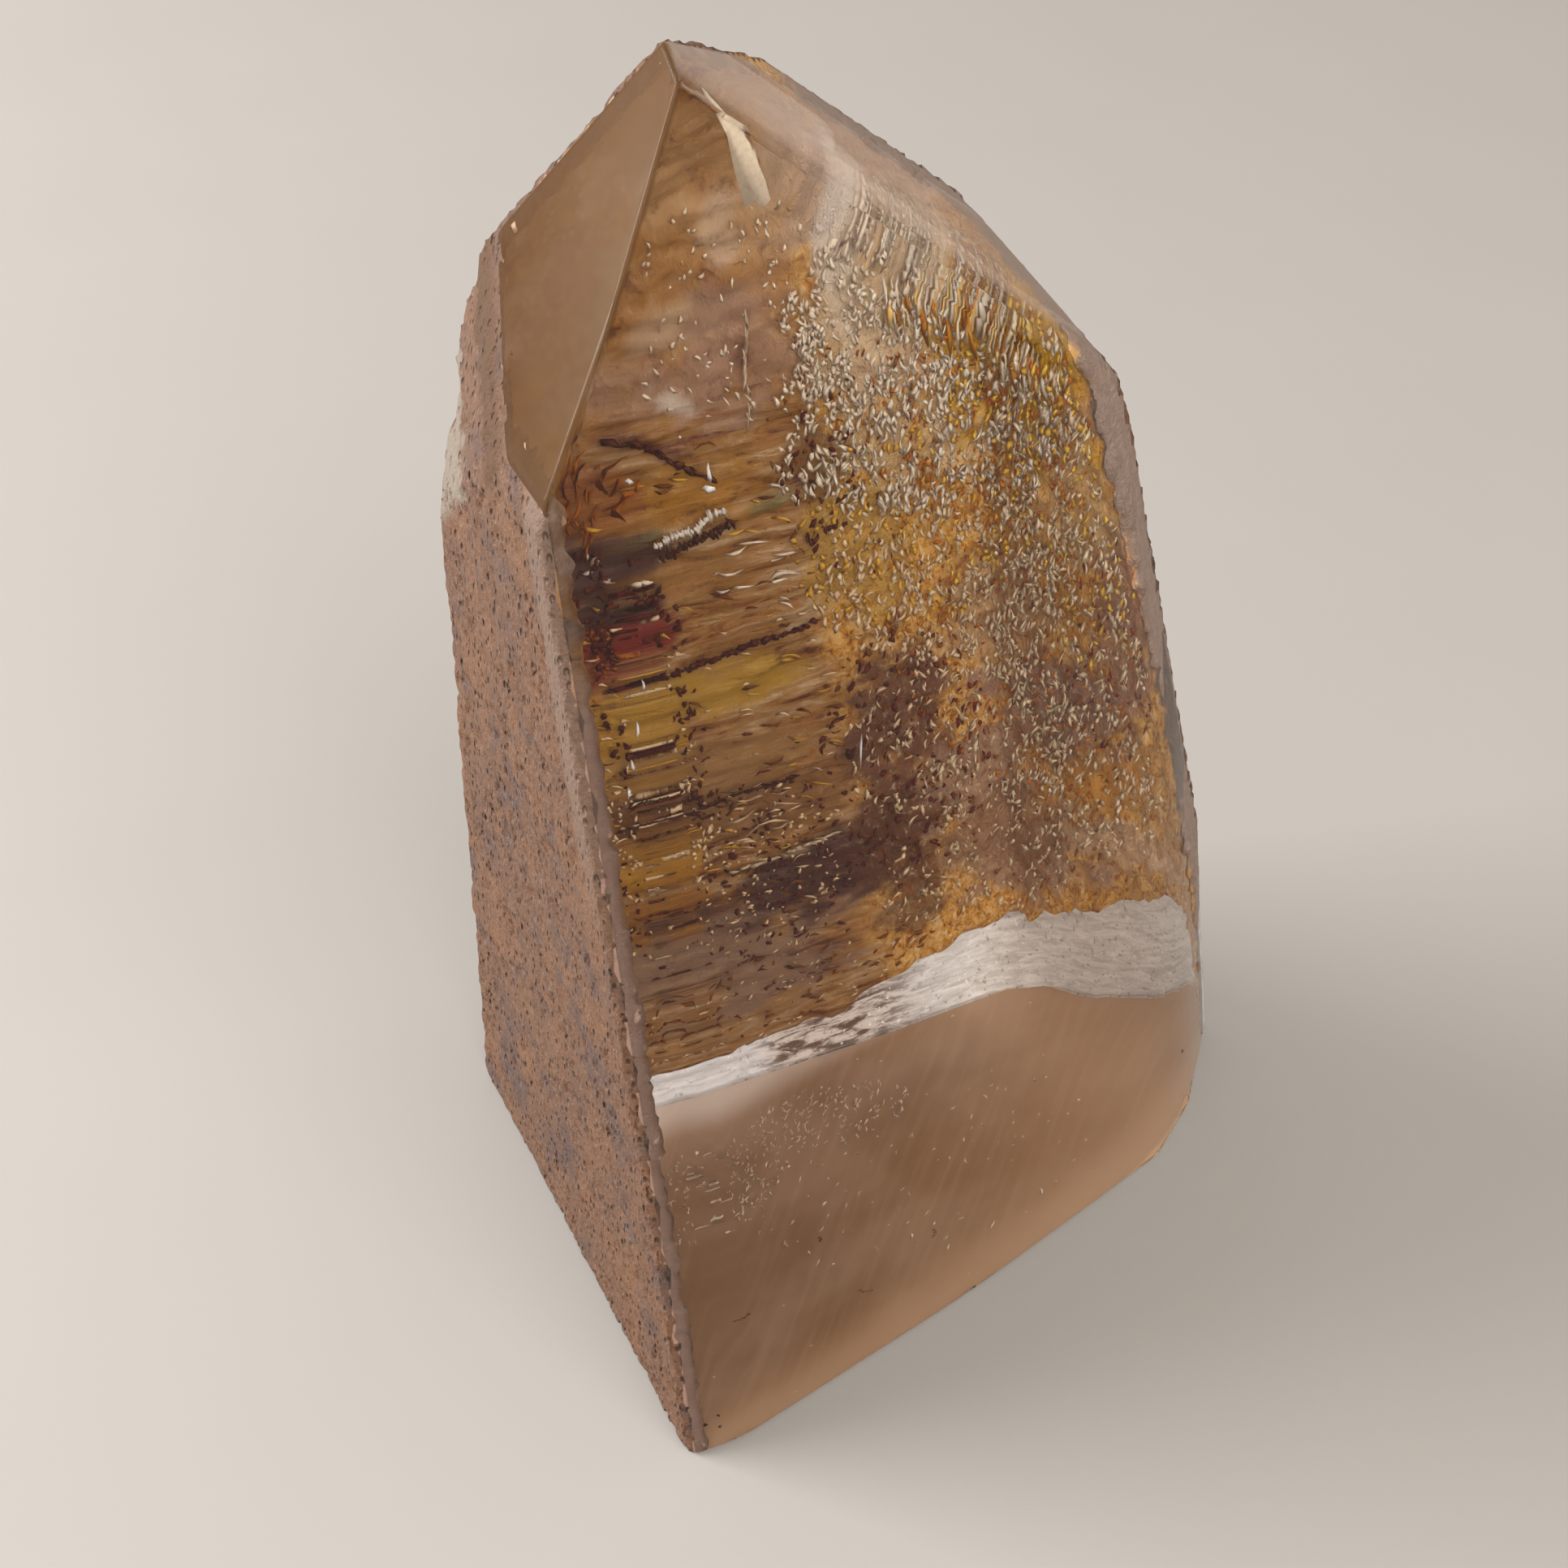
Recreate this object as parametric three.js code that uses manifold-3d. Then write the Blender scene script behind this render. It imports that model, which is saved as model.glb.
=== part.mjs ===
// Garden quartz freeform: a small polished quartz standing on a flat cut base.
// The front, right and top are polished facets of clear quartz. The left side and the back are
// the natural pitted skin, a layer of brown and ochre inclusions that shows through the facets.
// Millimetres, +Z up. The origin is on the table, at the middle of the stone's outline.
import * as THREE from 'three';
import Module from 'manifold-3d';
import { ImprovedNoise } from 'three/addons/math/ImprovedNoise.js';
import { mergeVertices } from 'three/addons/utils/BufferGeometryUtils.js';

// Every face is a plane. turn is its compass direction in degrees, from the front (-Y) towards the
// right (+X), lean is how far it tips up, and reach is its distance from the origin.
const POLISHED_FACES = {
  front: { turn: 35.9, lean: 12.0, reach: 12.82 },
  front_right: { turn: 39.3, lean: 12.2, reach: 12.71 },
  front_corner: { turn: 22.3, lean: 12.3, reach: 16.41 },
  upper_left: { turn: -63.1, lean: 28.8, reach: 41.58 },
  right_corner: { turn: 59.2, lean: 11.0, reach: 16.44 },
  right_side: { turn: 75.7, lean: 7.3, reach: 19.56 },
  right_back: { turn: 103.0, lean: 5.7, reach: 24.77 },
  roof: { turn: 90.7, lean: 45.2, reach: 43.88 },
  crown: { turn: 160.5, lean: 42.3, reach: 47.23 },
};
const NATURAL_FACES = {
  rough_left: { turn: -63.4, lean: 0.4, reach: 18.18, skin: 1.3 },
  rough_corner: { turn: -106.1, lean: 4.0, reach: 23.24, skin: 1.9 },
  back_left: { turn: -160.9, lean: 10.9, reach: 19.59, skin: 2.0 },
  back_right: { turn: 149.5, lean: 8.5, reach: 19.70, skin: 2.2 },
  broken_shoulder: { turn: -141.6, lean: 35.1, reach: 44.51, skin: 1.6 },
  broken_edge: { turn: -75.7, lean: 14.1, reach: 30.32, skin: 0.8 },
};
const STOCK_SIZE = 90;
const CUTTER_SIZE = 300;

// Polished edges are eased by a narrow flat, this wide in millimetres.
const EASED_EDGES = [
  ['upper_left', 'front', 0.9],
  ['upper_left', 'front_corner', 0.9],
  ['upper_left', 'crown', 1.8],
  ['crown', 'roof', 2.0],
  ['roof', 'front_right', 2.4],
  ['roof', 'right_corner', 2.0],
  ['roof', 'right_side', 1.6],
  ['roof', 'right_back', 1.2],
  ['right_side', 'right_back', 1.6],
  ['rough_left', 'front_corner', 0.5],
];

// Shell-shaped chips along the top left edge: where each bites, and its radius.
const CHIPS = [
  { at: [-20.6, 2.8, 51.3], radius: 1.8 },
  { at: [-18.6, 3.2, 58.0], radius: 1.2 },
  { at: [-12.2, 0.4, 67.4], radius: 1.0 },
];

// The inclusion layer's inner surface is grown from a ball around this point.
const SEED = new THREE.Vector3(0, 0, 27);
const GROWTH_DETAIL = 13;
const GROWTH_SHARPNESS = 40;
const CLEAR_MARGIN = 3;
const FIT_GAP = 0.3;
const LUMPS = [
  { size: 6.5, height: 0.7 },
  { size: 3.0, height: 0.45 },
];

// Height of the layer's lower line across the back, left to right. The quartz below it is clear.
const LOWER_LINE = [
  [-19, 4.0],
  [-10, 4.6],
  [-2, 7.2],
  [5, 8.4],
  [12, 12.0],
];
const LOWER_LINE_BLUR = 1.0;
const LOWER_LINE_WANDER = 0.9;

// Etch pits on the natural faces.
const PITS_PER_FACE = {
  rough_left: 90,
  rough_corner: 10,
  back_left: 50,
  back_right: 35,
  broken_shoulder: 6,
};
const PIT_ATTEMPTS = 4000;
const PIT = { length: [0.9, 2.2], width: [0.5, 0.9], depth: [0.3, 0.5], rim: 1.5 };

const COLOURS = {
  clear_quartz: { color: 0xc9ab8f, roughness: 0.06, metalness: 0 },
  garden_layer: { color: 0x8c6a50, roughness: 0.75, metalness: 0 },
};

const wasm = await Module();
wasm.setup();

const ALL_FACES = { ...POLISHED_FACES, ...NATURAL_FACES };
const noise = new ImprovedNoise();

/** A repeatable random number between 0 and 1. */
function randomNumbers(start) {
  let state = start;
  return () => {
    state = (state * 1664525 + 1013904223) % 4294967296;
    return state / 4294967296;
  };
}

function outwardNormal({ turn, lean }) {
  const angle = THREE.MathUtils.degToRad(turn);
  const tip = THREE.MathUtils.degToRad(lean);
  const flat = Math.cos(tip);
  return new THREE.Vector3(Math.sin(angle) * flat, -Math.cos(angle) * flat, Math.sin(tip));
}

function toSolid(geometry) {
  const bare = geometry.clone();
  bare.deleteAttribute('normal');
  bare.deleteAttribute('uv');
  const merged = mergeVertices(bare, 1e-5);
  const mesh = new wasm.Mesh({
    numProp: 3,
    vertProperties: new Float32Array(merged.attributes.position.array),
    triVerts: new Uint32Array(merged.index.array),
  });
  return new wasm.Manifold(mesh);
}

function toGeometry(solid) {
  const mesh = solid.getMesh();
  const geometry = new THREE.BufferGeometry();
  geometry.setAttribute('position', new THREE.BufferAttribute(mesh.vertProperties, 3));
  geometry.setIndex(new THREE.BufferAttribute(mesh.triVerts, 1));
  geometry.computeVertexNormals();
  return geometry;
}

/** A cube lying just outside a plane. Taking it away from the stock cuts a flat face. */
function blockBeyond(normal, reach, size = CUTTER_SIZE) {
  const block = new THREE.BoxGeometry(size, size, size);
  const turn = new THREE.Quaternion().setFromUnitVectors(new THREE.Vector3(0, 0, 1), normal);
  const centre = normal.clone().multiplyScalar(reach + size / 2);
  block.applyQuaternion(turn);
  block.translate(centre.x, centre.y, centre.z);
  return toSolid(block);
}

/** The plane that takes the sharp edge off between two faces, leaving a flat of the given width. */
function easingPlane(first, second, width) {
  const a = outwardNormal(first);
  const b = outwardNormal(second);
  const between = a.angleTo(b);
  const normal = a.clone().add(b).normalize();
  const edgeReach = (first.reach + second.reach) / 2 / Math.cos(between / 2);
  return { normal, reach: edgeReach - (width / 2) * Math.tan(between / 2) };
}

/** The whole stone, before its skin is told apart from its clear part. */
function wholeStone() {
  let stone = blockBeyond(new THREE.Vector3(0, 0, 1), 0, STOCK_SIZE);
  for (const face of Object.values(ALL_FACES)) {
    stone = stone.subtract(blockBeyond(outwardNormal(face), face.reach));
  }
  for (const [first, second, width] of EASED_EDGES) {
    const { normal, reach } = easingPlane(ALL_FACES[first], ALL_FACES[second], width);
    stone = stone.subtract(blockBeyond(normal, reach));
  }
  return stone;
}

function chips() {
  return CHIPS.map(({ at, radius }) => {
    const bite = new THREE.IcosahedronGeometry(radius, 2);
    bite.translate(...at);
    return toSolid(bite);
  });
}

/** True where a point lies on the stone's own surface and not near another face. */
function clearOfOtherFaces(point, ownName) {
  if (point.z < PIT.rim) return false;
  return Object.entries(ALL_FACES).every(
    ([name, face]) => name === ownName || outwardNormal(face).dot(point) < face.reach - PIT.rim,
  );
}

function pick([low, high], random) {
  return low + (high - low) * random();
}

/** One four-sided etch pit, longest along the face's slope. */
function etchPit(point, normal, random) {
  const pit = new THREE.OctahedronGeometry(1);
  const up = new THREE.Vector3(0, 0, 1).addScaledVector(normal, -normal.z).normalize();
  const across = new THREE.Vector3().crossVectors(up, normal);
  pit.scale(pick(PIT.width, random) / 2, pick(PIT.length, random) / 2, pick(PIT.depth, random));
  pit.rotateZ((random() - 0.5) * 0.9);
  pit.applyMatrix4(new THREE.Matrix4().makeBasis(across, up, normal));
  pit.translate(point.x, point.y, point.z);
  return toSolid(pit);
}

function etchPits() {
  const random = randomNumbers(7);
  const pits = [];
  for (const [name, count] of Object.entries(PITS_PER_FACE)) {
    const face = NATURAL_FACES[name];
    const normal = outwardNormal(face);
    let made = 0;
    for (let attempt = 0; attempt < PIT_ATTEMPTS && made < count; attempt += 1) {
      const point = new THREE.Vector3(random() - 0.5, random() - 0.5, random()).multiplyScalar(75);
      point.addScaledVector(normal, face.reach - normal.dot(point));
      if (clearOfOtherFaces(point, name)) {
        pits.push(etchPit(point, normal, random));
        made += 1;
      }
    }
  }
  return pits;
}

/** Distance from the seed to the rounded shape that a set of inset planes encloses. */
function grownReach(direction, insetOf) {
  let sum = 0;
  for (const [name, face] of Object.entries(ALL_FACES)) {
    const normal = outwardNormal(face);
    const distance = face.reach - insetOf(name) - normal.dot(SEED);
    sum += Math.max(0, normal.dot(direction) / distance) ** GROWTH_SHARPNESS;
  }
  const floorDistance = SEED.z + CLEAR_MARGIN;
  sum += Math.max(0, -direction.z / floorDistance) ** GROWTH_SHARPNESS;
  return sum ** (-1 / GROWTH_SHARPNESS);
}

function lowerLineHeight(x) {
  const last = LOWER_LINE.length - 1;
  if (x <= LOWER_LINE[0][0]) return LOWER_LINE[0][1];
  if (x >= LOWER_LINE[last][0]) return LOWER_LINE[last][1];
  const step = LOWER_LINE.findIndex(([along]) => along > x);
  const [x0, z0] = LOWER_LINE[step - 1];
  const [x1, z1] = LOWER_LINE[step];
  return THREE.MathUtils.mapLinear(x, x0, x1, z0, z1);
}

/** 1 where the inclusion layer lies, 0 in the clear quartz at the foot of the back. */
function layerShare(point) {
  if (outwardNormal(NATURAL_FACES.rough_left).dot(point) > NATURAL_FACES.rough_left.reach - 3) return 1;
  const wander = LOWER_LINE_WANDER * noise.noise(point.x / 3, point.y / 3, 5);
  const line = lowerLineHeight(point.x) + wander;
  return THREE.MathUtils.smoothstep(point.z, line - LOWER_LINE_BLUR, line + LOWER_LINE_BLUR);
}

/** The clear part's own shape: the stone less its skin, lumpy where it meets the inclusions. */
function clearShape(growth) {
  const shape = new THREE.IcosahedronGeometry(1, GROWTH_DETAIL);
  const position = shape.attributes.position;
  const direction = new THREE.Vector3();
  const point = new THREE.Vector3();
  for (let i = 0; i < position.count; i += 1) {
    direction.fromBufferAttribute(position, i).normalize();
    const outside = grownReach(direction, () => -CLEAR_MARGIN);
    const inside = grownReach(direction, (name) => NATURAL_FACES[name]?.skin ?? -CLEAR_MARGIN);
    point.copy(direction).multiplyScalar(inside).add(SEED);
    const share = layerShare(point);
    let lumps = 0;
    for (const { size, height } of LUMPS) {
      lumps += height * noise.noise(point.x / size, point.y / size, point.z / size);
    }
    const reach = THREE.MathUtils.lerp(outside, inside + lumps, share) + growth;
    point.copy(direction).multiplyScalar(reach).add(SEED);
    position.setXYZ(i, point.x, point.y, point.z);
  }
  return toSolid(shape);
}

function namedMesh(name, solid) {
  const mesh = new THREE.Mesh(toGeometry(solid), new THREE.MeshStandardMaterial(COLOURS[name]));
  mesh.name = name;
  return mesh;
}

function gardenQuartz() {
  const group = new THREE.Group();
  let stone = wholeStone();
  for (const chip of chips()) stone = stone.subtract(chip);
  const pitted = etchPits().reduce((solid, pit) => solid.subtract(pit), stone);
  const clearQuartz = stone.intersect(clearShape(0));
  const gardenLayer = pitted.subtract(clearShape(FIT_GAP));
  group.add(namedMesh('clear_quartz', clearQuartz));
  group.add(namedMesh('garden_layer', gardenLayer));
  return group;
}

export default gardenQuartz();
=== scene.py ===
"""Garden quartz freeform: a clear polished quartz over a brown and ochre layer of inclusions.

Lengths named in millimetres are turned to metres by MM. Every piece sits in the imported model's frame.
"""
import math
import random
import bpy
import bmesh
from mathutils import Matrix, Vector, noise


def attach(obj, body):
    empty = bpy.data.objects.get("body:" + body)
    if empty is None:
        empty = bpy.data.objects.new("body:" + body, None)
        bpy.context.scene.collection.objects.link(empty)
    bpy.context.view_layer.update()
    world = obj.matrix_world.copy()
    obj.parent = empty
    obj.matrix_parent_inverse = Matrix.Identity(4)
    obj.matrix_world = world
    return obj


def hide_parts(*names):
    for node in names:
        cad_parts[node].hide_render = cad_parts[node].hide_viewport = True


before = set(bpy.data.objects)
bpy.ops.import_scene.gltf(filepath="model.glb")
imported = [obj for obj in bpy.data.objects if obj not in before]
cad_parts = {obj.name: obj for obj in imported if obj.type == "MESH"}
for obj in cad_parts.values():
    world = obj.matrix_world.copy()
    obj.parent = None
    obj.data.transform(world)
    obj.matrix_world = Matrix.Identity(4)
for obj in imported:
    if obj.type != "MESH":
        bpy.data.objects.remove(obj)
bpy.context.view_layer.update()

MM = 0.001

# ---- the stone's faces
# turn is the compass direction in degrees from the front (-Y) towards the right (+X), lean is how
# far the face tips up, and reach is its distance from the origin in millimetres. A natural face
# also has the thickness of the layer behind it.
POLISHED = {
    "front": (35.9, 12.0, 12.82),
    "front_right": (39.3, 12.2, 12.71),
    "front_corner": (22.3, 12.3, 16.41),
    "upper_left": (-63.1, 28.8, 41.58),
    "right_corner": (59.2, 11.0, 16.44),
    "right_side": (75.7, 7.3, 19.56),
    "right_back": (103.0, 5.7, 24.77),
    "roof": (90.7, 45.2, 43.88),
    "crown": (160.5, 42.3, 47.23),
}
NATURAL = {
    "rough_left": (-63.4, 0.4, 18.18, 1.3),
    "rough_corner": (-106.1, 4.0, 23.24, 1.9),
    "back_left": (-160.9, 10.9, 19.59, 2.0),
    "back_right": (149.5, 8.5, 19.70, 2.2),
    "broken_shoulder": (-141.6, 35.1, 44.51, 1.6),
    "broken_edge": (-75.7, 14.1, 30.32, 0.8),
}
# Each chip has its middle and its radius. The clear body stops CLEAR_INSET behind the natural
# faces, the layer POLISH_OVER_SKIN behind the polished ones.
CHIPS = [((-20.6, 2.8, 51.3), 1.8), ((-18.6, 3.2, 58.0), 1.2), ((-12.2, 0.4, 67.4), 1.0)]
CLEAR_INSET = 0.45
POLISH_OVER_SKIN = 0.12
UNCUT_BLOCK = 300
DOWN = Vector((0, 0, -1))


def facing(face):
    """Outward unit normal of a face in the tables above."""
    turn, lean = math.radians(face[0]), math.radians(face[1])
    flat = math.cos(lean)
    return Vector((math.sin(turn) * flat, -math.cos(turn) * flat, math.sin(lean)))


NATURAL_NORMALS = {name: facing(face) for name, face in NATURAL.items()}
POLISHED_NORMALS = {name: facing(face) for name, face in POLISHED.items()}


# ---- modelling helpers
def deselect_everything():
    if bpy.context.mode != "OBJECT":
        bpy.ops.object.mode_set(mode="OBJECT")
    bpy.ops.object.select_all(action="DESELECT")


def make_active(piece):
    deselect_everything()
    piece.select_set(True)
    bpy.context.view_layer.objects.active = piece


def apply_modifier(piece, kind, **settings):
    make_active(piece)
    modifier = piece.modifiers.new(kind.title(), kind)
    for name, value in settings.items():
        setattr(modifier, name, value)
    bpy.ops.object.modifier_apply(modifier=modifier.name)


def cut_block(name, planes):
    """A cube cut down by planes, each a (normal, reach in millimetres) pair."""
    deselect_everything()
    bpy.ops.mesh.primitive_cube_add(size=UNCUT_BLOCK * MM, location=(0, 0, 0))
    block = bpy.context.active_object
    block.name = name
    bpy.ops.object.mode_set(mode="EDIT")
    for normal, reach in planes:
        bpy.ops.mesh.select_all(action="SELECT")
        bpy.ops.mesh.bisect(
            plane_co=normal * reach * MM,
            plane_no=normal,
            use_fill=True,
            clear_outer=True,
        )
    bpy.ops.object.mode_set(mode="OBJECT")
    return block


def fine_mesh(block, voxel):
    """An even fine mesh that lies on the block's own faces."""
    make_active(block)
    bpy.ops.object.duplicate()
    guide = bpy.context.active_object
    apply_modifier(block, "REMESH", mode="VOXEL", voxel_size=voxel * MM)
    apply_modifier(block, "SHRINKWRAP", target=guide, wrap_method="NEAREST_SURFACEPOINT")
    bpy.data.objects.remove(guide, do_unlink=True)


def subtract(piece, cutter):
    apply_modifier(piece, "BOOLEAN", operation="DIFFERENCE", object=cutter, solver="EXACT")
    bpy.data.objects.remove(cutter, do_unlink=True)


def chip_away(piece):
    """Takes the shell-shaped chips out of the top left edge."""
    for place, radius in CHIPS:
        deselect_everything()
        bpy.ops.mesh.primitive_ico_sphere_add(subdivisions=3, radius=radius * MM, location=(0, 0, 0))
        bite = bpy.context.active_object
        for vertex in bite.data.vertices:
            vertex.co += Vector(place) * MM
        subtract(piece, bite)


def move_vertices(piece, offset_of):
    """Moves each vertex along its normal by offset_of(point, normal), all in millimetres."""
    mesh = piece.data
    normals = [vertex.normal.copy() for vertex in mesh.vertices]
    for vertex, normal in zip(mesh.vertices, normals):
        vertex.co += normal * offset_of(vertex.co / MM, normal) * MM
    mesh.update()


def smooth_step(low, high, value):
    share = min(1.0, max(0.0, (value - low) / (high - low)))
    return share * share * (3 - 2 * share)


# ---- the clear quartz
# How many millimetres each ridge takes to turn. Ridges that aren't named take PLAIN_EDGE.
SOFT_RIDGES = {
    ("front", "front_right"): 3.0,
    ("front", "front_corner"): 1.0,
    ("front_right", "right_corner"): 5.5,
    ("right_corner", "right_side"): 5.0,
    ("right_back", "right_side"): 3.5,
    ("front_right", "roof"): 2.2,
    ("right_corner", "roof"): 2.0,
    ("right_back", "roof"): 1.5,
    ("right_side", "roof"): 2.0,
    ("crown", "roof"): 2.2,
    ("crown", "upper_left"): 1.6,
    ("front", "upper_left"): 0.12,
    ("back_left", "back_right"): 4.0,
}
PLAIN_EDGE = 0.35
RIDGE_CUTS = (0.35, 0.7, 1.0)
CELL = 1.7
CREASE_ANGLE = 38


def natural_depth(point):
    """How deep a point in millimetres lies under the nearest natural face, and that face's name."""
    return min((NATURAL[name][2] - normal.dot(point), name) for name, normal in NATURAL_NORMALS.items())


def polished_depth(point):
    """How deep a point in millimetres lies under the nearest polished face."""
    return min(face[2] - POLISHED_NORMALS[name].dot(point) for name, face in POLISHED.items())


def clear_faces():
    """Normal and reach of every face of the clear body, the base among them."""
    faces = {name: (POLISHED_NORMALS[name], face[2]) for name, face in POLISHED.items()}
    faces.update({name: (NATURAL_NORMALS[name], face[2] - CLEAR_INSET) for name, face in NATURAL.items()})
    faces["base"] = (DOWN, 0.0)
    return faces


def find_ridges(block, faces):
    """Every pair of adjoining faces with its rounding width and the angle that the ridge turns."""
    owners = {}
    for polygon in block.data.polygons:
        owner = max(faces, key=lambda name: faces[name][0].dot(polygon.normal))
        for key in polygon.edge_keys:
            owners.setdefault(key, set()).add(owner)
    ridges = []
    for pair in {tuple(sorted(names)) for names in owners.values() if len(names) == 2}:
        angle = faces[pair[0]][0].angle(faces[pair[1]][0])
        ridges.append((*pair, SOFT_RIDGES.get(pair, PLAIN_EDGE), angle))
    return sorted(ridges)


def cut_into_cells(block, faces, ridges):
    """Cuts the faces into small cells: an even grid, and lines that run along each ridge."""
    cuts = [(Vector((1, 0, 0)), CELL * step + 0.13) for step in range(-14, 15)]
    cuts += [(Vector((0, 1, 0)), CELL * step + 0.17) for step in range(-14, 15)]
    cuts += [(Vector((0, 0, 1)), CELL * step + 0.11) for step in range(0, 43)]
    for first, second, width, angle in ridges:
        for share in RIDGE_CUTS:
            depth = share * width * math.sin(angle)
            cuts += [(faces[name][0], faces[name][1] - depth) for name in (first, second)]
    work = bmesh.new()
    work.from_mesh(block.data)
    for normal, reach in cuts:
        parts = [*work.verts, *work.edges, *work.faces]
        bmesh.ops.bisect_plane(work, geom=parts, dist=1e-8, plane_co=normal * reach * MM, plane_no=normal)
    work.to_mesh(block.data)
    work.free()


def round_ridges(block, faces, ridges):
    """Sinks the points near each ridge so that it turns over its own width."""
    for vertex in block.data.vertices:
        point = vertex.co / MM
        depths = {name: reach - normal.dot(point) for name, (normal, reach) in faces.items()}
        own = min(depths, key=depths.get)
        if depths[own] > 0.05:
            continue
        for first, second, width, angle in ridges:
            if own not in (first, second):
                continue
            other = second if own == first else first
            away = (depths[other] - depths[own]) / math.sin(angle)
            if away < width:
                sink = (width - away) ** 2 * math.tan(angle / 2) / (2 * width)
                inward = faces[own][0].lerp(faces[other][0], 0.5 * (1 - away / width))
                vertex.co -= inward.normalized() * sink * MM
        vertex.co.z = max(0.0, vertex.co.z)


def build_clear_quartz():
    faces = clear_faces()
    quartz = cut_block("quartz_body", list(faces.values()))
    ridges = find_ridges(quartz, faces)
    chip_away(quartz)
    cut_into_cells(quartz, faces, ridges)
    round_ridges(quartz, faces, ridges)
    make_active(quartz)
    bpy.ops.object.shade_smooth_by_angle(angle=math.radians(CREASE_ANGLE))
    return quartz


# ---- the inclusion layer
LOWER_LINE = [(-19, 4.0), (-10, 4.6), (-2, 7.2), (5, 8.4), (12, 12.0), (22, 13.0)]
FOOT_SPACE = ((-27, 8.5), (30, 27))
STREAKED_LEFT_OF = -6.5
HOLLOW_PAST, HOLLOW_BELOW = 8, 10
LAYER_CELL = 0.42
PIT_DEPTH = 0.26
PIT_SEED = 7
SKIN_DEPTH = 0.55
# The worn strip beside the front edge, smoother and with a painted sheen: its width, and the heights where
# it starts and is full.
WORN_WIDTH, WORN_FROM, WORN_FULL = 1.9, 30.0, 42.0


def lower_line(x):
    """Height of the layer's lower edge across the back, in millimetres."""
    for (x0, z0), (x1, z1) in zip(LOWER_LINE, LOWER_LINE[1:]):
        if x <= x1:
            share = min(1.0, max(0.0, (x - x0) / (x1 - x0)))
            return z0 + (z1 - z0) * share
    return LOWER_LINE[-1][1]


def foot_cutter():
    """The space at the foot of the back that the layer leaves clear, with a ragged top."""
    deselect_everything()
    bpy.ops.mesh.primitive_grid_add(x_subdivisions=90, y_subdivisions=28, size=1, location=(0, 0, 0))
    cutter = bpy.context.active_object
    low, high = Vector(FOOT_SPACE[0]), Vector(FOOT_SPACE[1])
    for vertex in cutter.data.vertices:
        x = low.x + (high.x - low.x) * (vertex.co.x + 0.5)
        y = low.y + (high.y - low.y) * (vertex.co.y + 0.5)
        ragged = 0.9 * noise.noise(Vector((x * 0.5, y * 0.4, 2)))
        ragged += 0.35 * noise.noise(Vector((x * 1.7, y, 5)))
        vertex.co = Vector((x, y, lower_line(x) + ragged)) * MM
    bpy.ops.object.mode_set(mode="EDIT")
    bpy.ops.mesh.select_all(action="SELECT")
    bpy.ops.mesh.extrude_region_move(TRANSFORM_OT_translate={"value": (0, 0, -0.03)})
    bpy.ops.mesh.select_all(action="SELECT")
    bpy.ops.mesh.normals_make_consistent(inside=False)
    bpy.ops.object.mode_set(mode="OBJECT")
    return cutter


def etch_pits(point):
    """Depth of the natural skin's etch pits at a point, longest up and down the face."""
    wander = Vector((point.x * 1.9, point.y * 1.9, point.z * 1.05))
    wander += 0.35 * noise.noise_vector(point * 0.9)
    distance = noise.voronoi(wander)[0][0]
    coarse = smooth_step(0.42, 0.16, distance) if distance < 0.42 else 0.0
    patch = smooth_step(-0.35, 0.25, noise.noise(point * 0.35))
    return PIT_DEPTH * coarse * patch


def from_front_edge(point):
    """How far a point lies behind the front corner facet, in millimetres."""
    return POLISHED["front_corner"][2] - POLISHED_NORMALS["front_corner"].dot(point)


def worn_strip(point):
    """1 on the smooth worn strip of the rough left face, along its front edge, else 0."""
    from_edge = from_front_edge(point)
    width = WORN_WIDTH + 0.5 * noise.noise(Vector((0, 0, point.z * 0.3)))
    near = smooth_step(width + 0.6, width - 0.4, from_edge) if from_edge < width + 0.6 else 0.0
    return near * smooth_step(WORN_FROM, WORN_FULL, point.z)


def skin_relief(point, normal):
    """Pits and swells on the outside of the layer, lumps and ledges on its inside."""
    depth, name = natural_depth(point)
    if depth < 0.3:
        swell = 0.1 * noise.noise(point * 0.45) + 0.08 * noise.noise(point * 1.4)
        return (swell - 0.1 - etch_pits(point)) * (1 - worn_strip(point)) - 0.05
    if abs(depth - NATURAL[name][3]) < 0.35 and point.z > 0.5:
        streak = Vector((point.x * 0.35, point.y * 0.35, point.z * 1.6))
        ledges = 0.32 * noise.noise(streak) + 0.16 * noise.noise(streak * 2.3)
        grains = 0.45 * noise.noise(point * 0.9) + 0.22 * noise.noise(point * 2.1)
        left = smooth_step(STREAKED_LEFT_OF + 3.0, STREAKED_LEFT_OF - 1.0, point.x)
        return ledges * left + grains * (1 - left)
    return 0.0


def refine_rough_left(layer):
    """A finer mesh on the outside of the rough left face, where the pits are seen closest."""
    bpy.ops.object.mode_set(mode="EDIT")
    work = bmesh.from_edit_mesh(layer.data)
    normal, reach = NATURAL_NORMALS["rough_left"], NATURAL["rough_left"][2]
    for face in work.faces:
        centre = face.calc_center_median() / MM
        face.select = reach - normal.dot(centre) < 0.25
    bmesh.update_edit_mesh(layer.data)
    bpy.ops.mesh.subdivide(number_cuts=1)
    bpy.ops.object.mode_set(mode="OBJECT")


def paint_by_depth(layer):
    """The second material slot goes on what is seen from inside, through the clear quartz."""
    for polygon in layer.data.polygons:
        centre = polygon.center / MM
        chipped = any((centre - Vector(middle)).length < radius + 0.5 for middle, radius in CHIPS)
        polygon.material_index = 1 if natural_depth(centre)[0] > SKIN_DEPTH and not chipped else 0


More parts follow.
